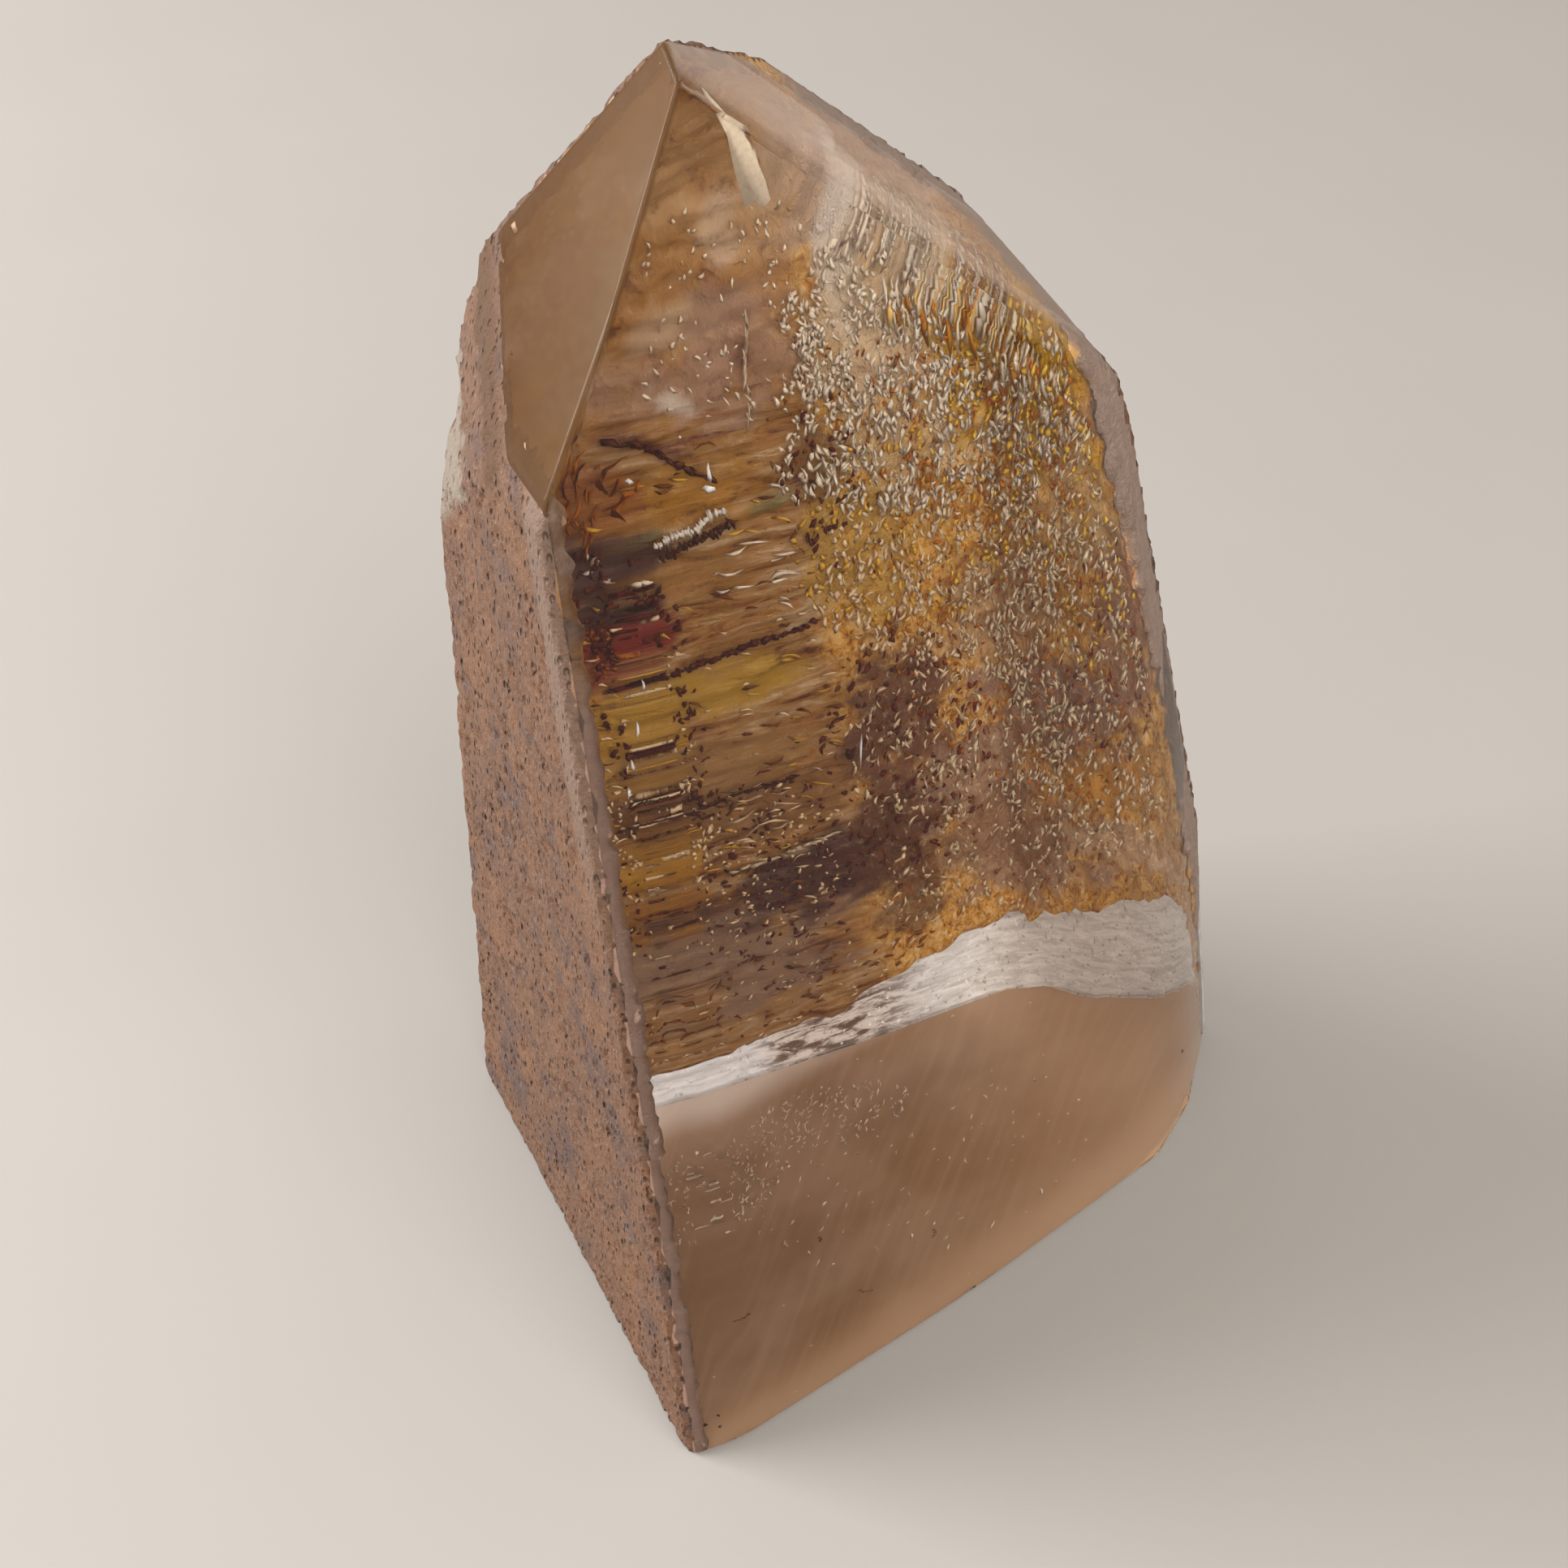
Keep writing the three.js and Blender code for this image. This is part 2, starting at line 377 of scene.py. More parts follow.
def build_layer():
    outer = [(NATURAL_NORMALS[name], face[2]) for name, face in NATURAL.items()]
    outer += [(POLISHED_NORMALS[name], face[2] - POLISH_OVER_SKIN) for name, face in POLISHED.items()]
    outer.append((DOWN, 0.0))
    layer = cut_block("garden_skin", outer)
    inner = [(NATURAL_NORMALS[name], face[2] - face[3]) for name, face in NATURAL.items()]
    inner += [(POLISHED_NORMALS[name], face[2] + HOLLOW_PAST) for name, face in POLISHED.items()]
    inner.append((DOWN, HOLLOW_BELOW))
    subtract(layer, cut_block("hollow", inner))
    subtract(layer, foot_cutter())
    chip_away(layer)
    fine_mesh(layer, LAYER_CELL)
    make_active(layer)
    refine_rough_left(layer)
    # Without a seed, noise_vector starts from the clock and the pits differ with each run.
    noise.seed_set(PIT_SEED)
    move_vertices(layer, skin_relief)
    make_active(layer)
    bpy.ops.object.shade_smooth()
    return layer


# ---- colours of the garden
def tone(red, green, blue):
    """A linear colour from screen values of 0 to 255."""
    return tuple((value / 255) ** 2.2 for value in (red, green, blue))


# How brightly the room lights an outer face, the garden's left and right parts, and the base.
ROOM_LIGHT = 3.25
LEFT_LIGHT, RIGHT_LIGHT, BASE_LIGHT = 0.58, 0.29, 0.39
GARDEN_GLOW = 0.42
POLISH_SHEEN = (0.019, 0.021, 0.026)


def in_room(red, green, blue):
    """The colour an outer face needs so that it reads as this one in the bright room."""
    return tuple(seen / ROOM_LIGHT for seen in tone(red, green, blue))


def under_quartz(red, green, blue, light=LEFT_LIGHT):
    """The colour a grain needs so that it reads as this one through clear quartz and its sheen."""
    bare = [max(0.003, seen - sheen) for seen, sheen in zip(tone(red, green, blue), POLISH_SHEEN)]
    grain = [seen / (light + GARDEN_GLOW * seen) for seen in bare]
    return tuple(part * min(1.0, 0.96 / max(grain)) for part in grain)


def garden_colour(seen, x):
    """The colour a grain of the garden needs at x millimetres to read as the one seen."""
    return under_quartz(*seen, LEFT_LIGHT + (RIGHT_LIGHT - LEFT_LIGHT) * smooth_step(-9.0, 3.0, x))


# Patches of colour in the layer, seen from the front: middle x and z, half width and half height in
# millimetres, lean in degrees, colour and strength.
PATCHES = {
    "brown_crown": (-9.0, 62.0, 5.5, 6.0, 0, (176, 134, 96), 0.95),
    "brown_shoulder": (-10.5, 56.5, 4.0, 4.0, 0, (142, 98, 60), 0.8),
    "pale_mottle": (-10.6, 55.6, 2.8, 1.5, 10, (180, 150, 124), 0.75),
    "pale_streak": (-9.0, 60.4, 1.0, 2.2, 0, (192, 162, 136), 0.7),
    "mauve_shoulder": (-8.4, 54.6, 2.6, 4.4, 0, (140, 108, 94), 0.8),
    "mauve_top": (-4.7, 61.0, 2.4, 4.0, 0, (164, 134, 112), 0.9),
    "mauve_roof": (-1.4, 60.0, 4.2, 3.6, 0, (174, 146, 130), 0.9),
    "white_column": (-3.9, 58.0, 1.0, 4.0, 0, (224, 208, 192), 0.95),
    "mauve_veil": (-12.0, 52.4, 3.4, 2.2, -26, (150, 116, 98), 0.9),
    "veil_white": (-12.6, 51.9, 1.6, 0.7, -40, (206, 190, 174), 0.9),
    "purple_arc": (-12.6, 48.7, 2.8, 0.5, -38, (78, 44, 40), 0.8),
    "ochre_sheet": (-12.2, 46.3, 4.0, 1.9, -8, (156, 106, 42), 0.9),
    "rust_strands": (-15.7, 47.2, 1.3, 2.8, 0, (132, 78, 34), 0.85),
    "green_left": (-14.2, 44.0, 0.9, 0.6, 14, (98, 92, 66), 0.9),
    "green_right": (-8.4, 44.3, 1.1, 0.5, 8, (104, 96, 66), 0.9),
    "brown_middle": (-12.9, 41.0, 3.4, 1.9, -4, (140, 98, 60), 0.8),
    "rust_red": (-16.4, 38.0, 1.9, 2.8, 0, (116, 44, 14), 1.0),
    "purple_clump": (-16.2, 42.2, 2.4, 2.8, 0, (66, 27, 27), 1.0),
    "olive_band": (-11.6, 33.4, 4.8, 1.9, 1, (160, 120, 44), 0.9),
    "yellow_strip": (-16.4, 31.2, 1.8, 3.3, 0, (178, 130, 58), 0.8),
    "grey_brown": (-12.8, 27.6, 4.6, 3.2, -4, (134, 100, 68), 0.8),
    "dark_strip": (-16.6, 25.8, 2.2, 1.3, 0, (92, 60, 42), 0.8),
    "foot_gold": (-16.8, 21.6, 1.8, 1.9, -6, (176, 122, 38), 0.9),
    "foot_amber": (-16.6, 16.2, 1.5, 3.4, -10, (150, 98, 40), 0.8),
    "dark_spot": (-15.2, 16.6, 1.2, 1.4, 0, (66, 42, 40), 0.8),
    "low_grey": (-13.6, 11.8, 6.0, 4.2, 4, (128, 102, 88), 1.0),
    "low_ochre": (-12.4, 7.4, 2.2, 1.0, 4, (146, 106, 66), 0.8),
    "brown_fold": (-11.5, 24.0, 5.4, 2.4, 6, (116, 82, 58), 0.8),
    "dark_edge": (-6.0, 46.0, 1.4, 2.8, -10, (96, 66, 52), 0.75),
    "white_cloud": (-2.6, 53.2, 3.6, 4.2, 0, (190, 168, 142), 0.75),
    "cloud_band": (0.4, 46.6, 6.0, 2.8, 4, (172, 142, 108), 0.7),
    "yellow_crest": (6.0, 49.0, 5.2, 4.6, -10, (196, 138, 46), 0.95),
    "orange_spot": (4.3, 47.2, 1.3, 1.4, 0, (150, 86, 30), 0.85),
    "right_shoulder": (12.6, 48.6, 3.4, 3.4, 0, (146, 108, 80), 1.0),
    "pale_ochre": (-4.3, 39.5, 2.6, 4.6, 0, (166, 126, 66), 0.85),
    "right_gold": (9.5, 43.0, 3.4, 4.6, 0, (200, 152, 100), 0.9),
    "right_mauve": (13.0, 34.5, 3.0, 6.5, 0, (122, 90, 80), 0.85),
    "middle_mauve": (3.2, 33.0, 3.6, 4.2, 10, (132, 104, 86), 0.7),
    "dark_middle": (-3.9, 26.5, 2.9, 6.8, -8, (86, 60, 58), 1.0),
    "brown_low": (6.8, 26.5, 5.4, 4.0, 10, (108, 86, 82), 0.9),
    "dark_band": (-9.6, 17.2, 6.4, 3.2, 6, (68, 32, 32), 1.0),
    "dark_low": (-4.4, 17.0, 3.0, 4.2, -12, (74, 50, 44), 0.9),
    "low_beige": (4.0, 14.4, 5.6, 4.2, 12, (134, 106, 90), 1.0),
    "low_lilac": (0.8, 20.4, 3.6, 4.2, 0, (124, 100, 90), 0.85),
    "right_orange": (11.0, 21.8, 3.8, 2.4, 0, (176, 114, 58), 0.9),
    "right_cream": (12.5, 16.4, 4.4, 2.2, 0, (176, 140, 112), 0.8),
    "low_mauve": (2.2, 15.6, 3.8, 4.2, 0, (106, 80, 68), 0.9),
    "bottom_dark": (-4.3, 11.4, 2.4, 1.8, 12, (84, 64, 58), 0.8),
}


def patch_colour(point):
    """Colour and share of the patches that cover a point of the layer's inner side."""
    colour, share = Vector((0.0, 0.0, 0.0)), 0.0
    for x, z, half_width, half_height, lean, seen, strength in PATCHES.values():
        across, up = point.x - x, point.z - z
        if abs(across) > 2 * half_width + half_height or abs(up) > 2 * half_height + half_width:
            continue
        cosine, sine = math.cos(math.radians(lean)), math.sin(math.radians(lean))
        side = (across * cosine + up * sine) / half_width
        rise = (up * cosine - across * sine) / half_height
        ragged = noise.noise(Vector((point.x * 0.35, point.z * 0.5, x))) * 1.1
        ragged += noise.noise(Vector((point.x * 0.9, point.z * 1.7, x + 3))) * 0.7
        cover = strength * smooth_step(1.45, 0.4, side * side + rise * rise + ragged)
        colour = colour.lerp(Vector(garden_colour(seen, point.x)), cover if share else 1.0)
        share = share + cover * (1 - share)
    return (*colour, share)


def paint_patches(layer):
    """Stores the patches as a colour, their share as its alpha, and the rim that more light meets."""
    patches = layer.data.color_attributes.new("patches", "FLOAT_COLOR", "POINT")
    for vertex, paint in zip(layer.data.vertices, patches.data):
        point = vertex.co / MM
        if natural_depth(point)[0] > 0.4 or from_front_edge(point) < 5.0:
            paint.color = patch_colour(point)
        else:
            paint.color = (0, 0, 0, 0)
    rim = layer.data.attributes.new("rim", "FLOAT", "POINT")
    for vertex, exposed in zip(layer.data.vertices, rim.data):
        exposed.value = smooth_step(0.5, 0.25, polished_depth(vertex.co / MM))


# ---- grains in front of the layer
CREAM, WHITE, GOLD = (252, 206, 158), (252, 224, 192), (204, 146, 66)
RUST, PLUM, BARK = (150, 84, 40), (82, 48, 44), (108, 68, 46)

# Zones of separate grains: middle x and z, half width and half height, how many, length and width
# of a grain, lean and spread of its long way in degrees (0 lies flat, 90 stands up), and colour.
GRAIN_ZONES = {
    "cloud": (-2.2, 53.5, 4.2, 4.6, 1500, 0.64, 0.19, 86, 36, WHITE),
    "cloud_edge": (-5.4, 50.6, 1.8, 3.4, 280, 0.58, 0.2, 95, 36, WHITE),
    "cloud_band": (0.5, 46.0, 7.6, 3.8, 1288, 0.74, 0.21, 84, 38, WHITE),
    "crest": (6.0, 49.0, 4.6, 4.0, 470, 0.79, 0.19, 80, 34, CREAM),
    "upper_right": (8.5, 43.0, 4.8, 6.4, 851, 0.72, 0.19, 82, 40, CREAM),
    "middle": (0.5, 38.0, 6.6, 6.4, 1288, 0.72, 0.19, 82, 42, CREAM),
    "middle_right": (8.0, 33.5, 6.4, 6.6, 896, 0.72, 0.19, 84, 42, CREAM),
    "lower": (0.8, 25.5, 6.6, 6.8, 851, 0.72, 0.18, 80, 44, CREAM),
    "lower_right": (9.5, 21.5, 5.6, 5.0, 582, 0.67, 0.19, 84, 42, CREAM),
    "foot": (0.5, 14.0, 6.0, 4.6, 420, 0.56, 0.18, 70, 46, CREAM),
    "gold_crest": (6.4, 48.6, 5.0, 4.2, 460, 0.6, 0.24, 84, 36, GOLD),
    "gold_middle": (-1.5, 40.5, 6.0, 6.4, 420, 0.6, 0.22, 82, 42, GOLD),
    "gold_right": (9.5, 40.0, 4.4, 8.0, 340, 0.6, 0.22, 84, 42, GOLD),
    "rust_upper": (3.6, 47.0, 6.4, 6.6, 620, 0.55, 0.13, 80, 44, RUST),
    "rust_right": (5.5, 34.0, 8.0, 13.0, 940, 0.5, 0.13, 80, 46, RUST),
    "bark_upper": (-1.0, 46.0, 7.0, 8.0, 260, 0.5, 0.14, 80, 46, BARK),
    "bark_lower": (2.5, 25.0, 9.0, 13.0, 560, 0.5, 0.16, 80, 50, BARK),
    "plum_edge": (-5.6, 45.0, 1.8, 5.0, 130, 0.55, 0.2, 80, 44, PLUM),
    "plum_middle": (-3.0, 24.0, 4.4, 9.0, 340, 0.6, 0.22, 70, 50, PLUM),
    "plum_right": (11.5, 33.0, 3.6, 8.0, 150, 0.55, 0.2, 80, 44, PLUM),
    "crown_sparks": (-8.8, 57.0, 3.8, 4.6, 150, 0.42, 0.15, 70, 40, WHITE),
    "veil_sparks": (-11.0, 51.5, 3.4, 2.4, 40, 0.6, 0.16, -30, 30, WHITE),
    "left_bark": (-12.2, 30.0, 5.6, 18.0, 105, 1.1, 0.16, 2, 10, BARK),
    "left_plum": (-12.2, 20.0, 5.6, 9.0, 91, 0.9, 0.2, 4, 14, PLUM),
    "left_gold": (-12.5, 34.0, 5.6, 13.0, 90, 1.3, 0.15, 2, 9, GOLD),
    "left_cream": (-12.0, 28.0, 5.2, 13.0, 90, 0.9, 0.12, 3, 12, CREAM),
    "left_twinkle": (-12.4, 19.0, 5.2, 6.4, 420, 0.4, 0.16, 40, 50, CREAM),
    "left_crumbs": (-12.4, 19.0, 5.6, 6.6, 460, 0.42, 0.2, 45, 50, PLUM),
    "line_sparks": (-14.8, 34.0, 0.7, 7.0, 80, 0.34, 0.2, 80, 50, CREAM),
    "line_plum": (-14.9, 34.0, 1.3, 8.4, 230, 0.5, 0.22, 75, 50, PLUM),
    "line_foot": (-15.7, 24.5, 1.3, 4.6, 120, 0.45, 0.18, 70, 50, CREAM),
    "clump_plum": (-16.4, 40.6, 1.8, 3.6, 220, 0.5, 0.26, 60, 50, PLUM),
    "clump_rust": (-16.6, 37.2, 1.6, 2.6, 120, 0.5, 0.22, 60, 50, RUST),
    "white_dashes": (-9.4, 39.9, 1.7, 2.4, 26, 1.6, 0.16, -2, 8, WHITE),
    "pale_lines": (-10.7, 22.6, 2.7, 3.4, 30, 2.0, 0.13, 8, 8, CREAM),
    "strip_lines": (-17.2, 31.4, 1.5, 3.2, 26, 1.4, 0.14, -8, 8, CREAM),
    "clump_sparks": (-15.8, 42.6, 1.5, 1.6, 24, 0.6, 0.34, 70, 40, WHITE),
    "rust_strands": (-15.6, 47.2, 1.2, 2.6, 50, 1.6, 0.14, 80, 12, RUST),
    "foot_bark": (-11.0, 8.0, 7.0, 4.0, 240, 0.7, 0.18, 20, 40, BARK),
    "foot_cream": (-11.0, 7.5, 7.0, 3.4, 160, 0.5, 0.14, 30, 40, CREAM),
}

# Veins that cross the layer: both ends as x and z, width, how many grains make it, and colour.
VEINS = {
    "rust_line": ((-16.0, 35.2), (-6.8, 36.3), 0.34, 34, (78, 30, 16)),
    "pale_streak": ((-14.2, 43.8), (-10.5, 44.7), 0.5, 30, (222, 210, 194)),
    "dark_streak": ((-13.9, 43.0), (-10.2, 43.9), 0.5, 30, (66, 34, 34)),
    "purple_arc": ((-14.6, 50.3), (-10.8, 46.9), 0.34, 16, (72, 38, 36)),
    "crack": ((-8.7, 49.6), (-8.2, 56.0), 0.12, 14, (206, 180, 150)),
    "low_line": ((-16.4, 25.2), (-9.0, 25.6), 0.26, 22, (66, 40, 34)),
    "lower_line": ((-13.6, 19.6), (-7.4, 20.4), 0.22, 18, (196, 172, 142)),
}
COMB_START, COMB_END, COMB_TEETH = (-1.6, 56.0), (8.6, 49.2), 64
COMB_COLOURS = (WHITE, (204, 154, 92), (238, 204, 158), (150, 96, 54))
PAINTED_REFLECTION_THICKNESS, PAINTED_REFLECTION_COLOUR = 0.12, (226, 202, 172)
GLINT_COLOUR = (255, 252, 246)

# The outline of a pale sheet just under the crown that paints the window's bright reflection there: x, y
# and z of each point. Then small pale flakes under the front facets that paint bright glints of reflected
# light: x, y and z of the middle, length and width.
PAINTED_REFLECTION_SHEET = [
    (-7.6, -2.2, 68.8),
    (-7.1, -2.7, 68.3),
    (-6.5, -2.7, 67.0),
    (-6.2, -2.9, 65.5),
    (-5.8, -3.0, 64.0),
    (-5.4, -2.7, 64.2),
    (-5.1, -2.5, 63.7),
    (-4.8, -2.3, 64.0),
    (-5.0, -2.2, 64.7),
    (-5.6, -2.2, 66.4),
    (-6.3, -2.4, 67.6),
    (-7.3, -2.1, 68.5),
]
GLINTS = [
    (-7.6, -6.3, 53.4, 1.2, 0.2),
    (-7.6, -6.5, 52.7, 0.6, 0.5),
    (-10.8, -8.3, 54.4, 0.35, 0.3),
    (-10.3, -11.1, 45.5, 0.7, 0.12),
    (-10.6, -11.7, 43.5, 0.9, 0.14),
    (-10.9, -12.2, 41.8, 0.8, 0.2),
    (-11.1, -12.6, 40.5, 0.6, 0.14),
    (-0.75, -5.7, 36.9, 1.9, 0.16),
]


def inside_quartz(point):
    """True where a grain at a point in millimetres stays under every polished face."""
    return polished_depth(point) > 0.9 and natural_depth(point)[0] > 0.8


def layer_front(x, z, above=0.0):
    """The point of the layer's inner side behind x and z, brought forward by a height above it."""
    reaches = []
    for name in ("back_left", "back_right", "broken_shoulder"):
        normal = NATURAL_NORMALS[name]
        inside = NATURAL[name][2] - NATURAL[name][3] - above
        reaches.append((inside - normal.x * x - normal.z * z) / normal.y)
    return Vector((x, min(reaches), z))


# A flake's outline: how far along its half length and across its width each corner stands.
FLAKE_CORNERS = [(-1.0, 0.0), (-0.4, 0.5), (0.4, 0.5), (1.0, 0.0), (0.4, -0.5), (-0.4, -0.5)]


class GrainPile:
    """Many small curved flakes that end up in one mesh, each with its own tint."""

    def __init__(self, seed):
        self.chance = random.Random(seed)
        self.points = []
        self.faces = []
        self.tints = []

    def add(self, centre, length, width, lean, colour, curl=0.24):
        """One flake, its long way at lean degrees in the plane of the layer."""
        chance = self.chance
        turn = Matrix.Rotation(-math.radians(lean), 3, "Y")
        turn = turn @ Matrix.Rotation(chance.uniform(-0.5, 0.5), 3, "Z")
        bend = chance.uniform(-curl, curl) * length
        corners = []
        for along, across in FLAKE_CORNERS:
            rise = across * width * chance.uniform(0.4, 1.6) + bend * along * along
            corners.append(Vector((along * length / 2, chance.uniform(-0.03, 0.03), rise)))
        corners += [Vector((0, -width * 0.16, 0)), Vector((0, width * 0.16, 0))]
        first = len(self.points)
        self.points += [(centre + turn @ corner) * MM for corner in corners]
        for index in range(6):
            here, following = first + index, first + (index + 1) % 6
            self.faces.append((following, here, first + 6))
            self.faces.append((here, following, first + 7))
        shade = chance.uniform(0.8, 1.1)
        tint = [min(0.97, part * shade) for part in garden_colour(colour, centre.x)]
        self.tints += [(*tint, 1.0)] * len(corners)

    def add_sheet(self, outline, thickness, colour):
        """A thin flat sheet inside an outline."""
        first, count = len(self.points), len(outline)
        for back in (0, thickness):
            self.points += [(Vector(point) + Vector((0, back, 0))) * MM for point in outline]
        self.faces.append(tuple(range(first, first + count)))
        self.faces.append(tuple(range(first + 2 * count - 1, first + count - 1, -1)))
        for index in range(count):
            here, following = first + index, first + (index + 1) % count
            self.faces.append((following, here, here + count, following + count))
        self.tints += [(*under_quartz(*colour), 1.0)] * (2 * count)

    def piece(self, name):
        mesh = bpy.data.meshes.new(name)
        mesh.from_pydata(self.points, [], self.faces)
        tint = mesh.color_attributes.new("tint", "FLOAT_COLOR", "POINT")
        tint.data.foreach_set("color", [part for colour in self.tints for part in colour])
        grains = bpy.data.objects.new(name, mesh)
        bpy.context.scene.collection.objects.link(grains)
        make_active(grains)
        bpy.ops.object.shade_smooth()
        return grains


def crowding(x, z, colour):
    """How likely a grain is at a place: pale grains crowd where dark ones are few."""
    crowd = noise.noise(Vector((x * 0.8, z * 0.6, 1))) + 0.5 * noise.noise(Vector((x * 2.1, z * 1.6, 4)))
    return 0.5 + (1.1 if colour in (CREAM, WHITE) else -0.8) * crowd


def scatter_grains(pile):
    chance = pile.chance
    for x, z, half_width, half_height, count, length, width, lean, spread, colour in GRAIN_ZONES.values():
        for _ in range(count):
            far, turn = math.sqrt(chance.random()) * 1.12, chance.uniform(0, math.tau)
            at_x, at_z = x + half_width * far * math.cos(turn), z + half_height * far * math.sin(turn)
            if at_z < lower_line(at_x) + 0.8 or chance.random() > crowding(at_x, at_z, colour):
                continue
            centre = layer_front(at_x, at_z, chance.uniform(-0.1, 0.75))
            if not inside_quartz(centre):
                continue
            long, wide = length * chance.uniform(0.45, 1.4), width * chance.uniform(0.6, 1.4)
            pile.add(centre, long, wide, chance.gauss(lean, spread * 0.6), colour)


def lay_veins(pile):
    chance = pile.chance
    for start, end, width, count, colour in VEINS.values():
        along = Vector(end) - Vector(start)
        lean = math.atan2(along.y, along.x)
        for index in range(count):
            share = (index + chance.random()) / count
            bend = 0.35 * noise.noise(Vector((share * 3, start[0], start[1])))
            x = start[0] + along.x * share - bend * math.sin(lean)
            z = start[1] + along.y * share + bend * math.cos(lean)
            centre = layer_front(x, z, chance.uniform(0.35, 0.6))
            long, wide = along.length / count * 2.6, width * chance.uniform(0.5, 1.2)
            pile.add(centre, long, wide, math.degrees(lean) + chance.gauss(0, 4), colour, 0.08)


def stand_comb(pile):
    """A row of thin upright streaks under the roof facet, gold and cream by turns."""
    chance = pile.chance
    for tooth in range(COMB_TEETH):
        share = (tooth + chance.uniform(-0.2, 0.2)) / COMB_TEETH
        x = COMB_START[0] + (COMB_END[0] - COMB_START[0]) * share
        top = COMB_START[1] + (COMB_END[1] - COMB_START[1]) * share + chance.uniform(-0.4, 0.4)
        length = chance.uniform(1.6, 3.8) * (1 - 0.4 * share)
        colour = COMB_COLOURS[tooth % len(COMB_COLOURS)]
        centre = layer_front(x, top - length / 2, chance.uniform(0.3, 0.7))
        pile.add(centre, length, chance.uniform(0.14, 0.3), 96 + chance.gauss(0, 3), colour, 0.04)


def build_grains():
    """Every separate grain that stands in front of the layer, inside the clear quartz, with the pale sheet
    and flakes that paint reflections there.
    """
    pile = GrainPile(11)
    scatter_grains(pile)
    lay_veins(pile)
    stand_comb(pile)
    # A pale sheet paints the window's bright reflection under the crown.
    pile.add_sheet(PAINTED_REFLECTION_SHEET, PAINTED_REFLECTION_THICKNESS, PAINTED_REFLECTION_COLOUR)
    # Small pale flakes paint the bright glints of reflected light under the front facets.
    for x, y, z, length, width in GLINTS:
        pile.add(Vector((x, y, z)), length, width, 92, GLINT_COLOUR)
    return pile.piece("garden_grains_and_glints")


# ---- dust and specks over the base
BASE_SPECKS = [
    (17.0, 7.6, 0.32, 0.3),
    (-8.8, -19.1, 0.3, 0.22),
    (-7.9, -19.5, 0.22, 0.2),
    (-8.2, -18.4, 0.26, 0.2),
]
BASE_HAIRS = [(2.1, -5.2, 0.9, 65), (-1.9, -9.1, 1.1, -50), (-9.7, -9.6, 0.6, 10), (-6.2, -3.4, 0.5, 80)]
SPECK_HEIGHT, HAIR_HEIGHT = 0.35, 0.4
SPECK_COLOUR, HAIR_COLOUR, SPARK_COLOUR = (52, 34, 30), (96, 66, 52), (232, 206, 182)
BASE_SPARKS = {
    "upper": (-9.0, 9.5, 5.5, 3.2, 190),
    "left": (-13.6, 4.0, 3.0, 5.0, 150),
    "scattered": (0.0, 2.0, 12.0, 9.0, 90),
}


def build_base_specks():
    """Dark specks, hair-thin marks and pale sparks held just above the ground base."""
    pile = GrainPile(5)
    chance = pile.chance
    for x, y, length, width in BASE_SPECKS:
        pile.add(Vector((x, y, SPECK_HEIGHT)), length, width, 0, SPECK_COLOUR)
    for x, y, length, lean in BASE_HAIRS:
        for part in range(5):
            turn = math.radians(lean + 9 * part)
            forward = Vector((math.cos(turn), math.sin(turn), 0)) * length * part / 5
            pile.add(Vector((x, y, HAIR_HEIGHT)) + forward, 0.3, 0.07, 0, HAIR_COLOUR)
    for x, y, half_width, half_depth, count in BASE_SPARKS.values():
        for _ in range(count):
            far, turn = math.sqrt(chance.random()), chance.uniform(0, math.tau)
            at_x, at_y = x + half_width * far * math.cos(turn), y + half_depth * far * math.sin(turn)
            at = Vector((at_x, at_y, HAIR_HEIGHT))
            if inside_quartz(at):
                long, wide = chance.uniform(0.2, 0.6), chance.uniform(0.06, 0.14)
                pile.add(at, long, wide, chance.gauss(70, 30), SPARK_COLOUR)
    return pile.piece("base_specks")


# ---- shader maths
class Value:
    """A socket that Python's operators work on: each adds its Math node."""

    def __init__(self, paint, socket):
        self.paint = paint
        self.socket = socket

    def _math(self, operation, *values):
        node = self.paint.node("ShaderNodeMath", dict(enumerate(values)), operation=operation)
        return Value(self.paint, node.outputs[0])

    def __add__(self, other):
        return self._math("ADD", self, other)

    def __sub__(self, other):
        return self._math("SUBTRACT", self, other)

    def __rsub__(self, other):
        return self._math("SUBTRACT", other, self)

    def __mul__(self, other):
        return self._math("MULTIPLY", self, other)

    def larger(self, other):
        return self._math("MAXIMUM", self, other)

    __radd__ = __add__
    __rmul__ = __mul__


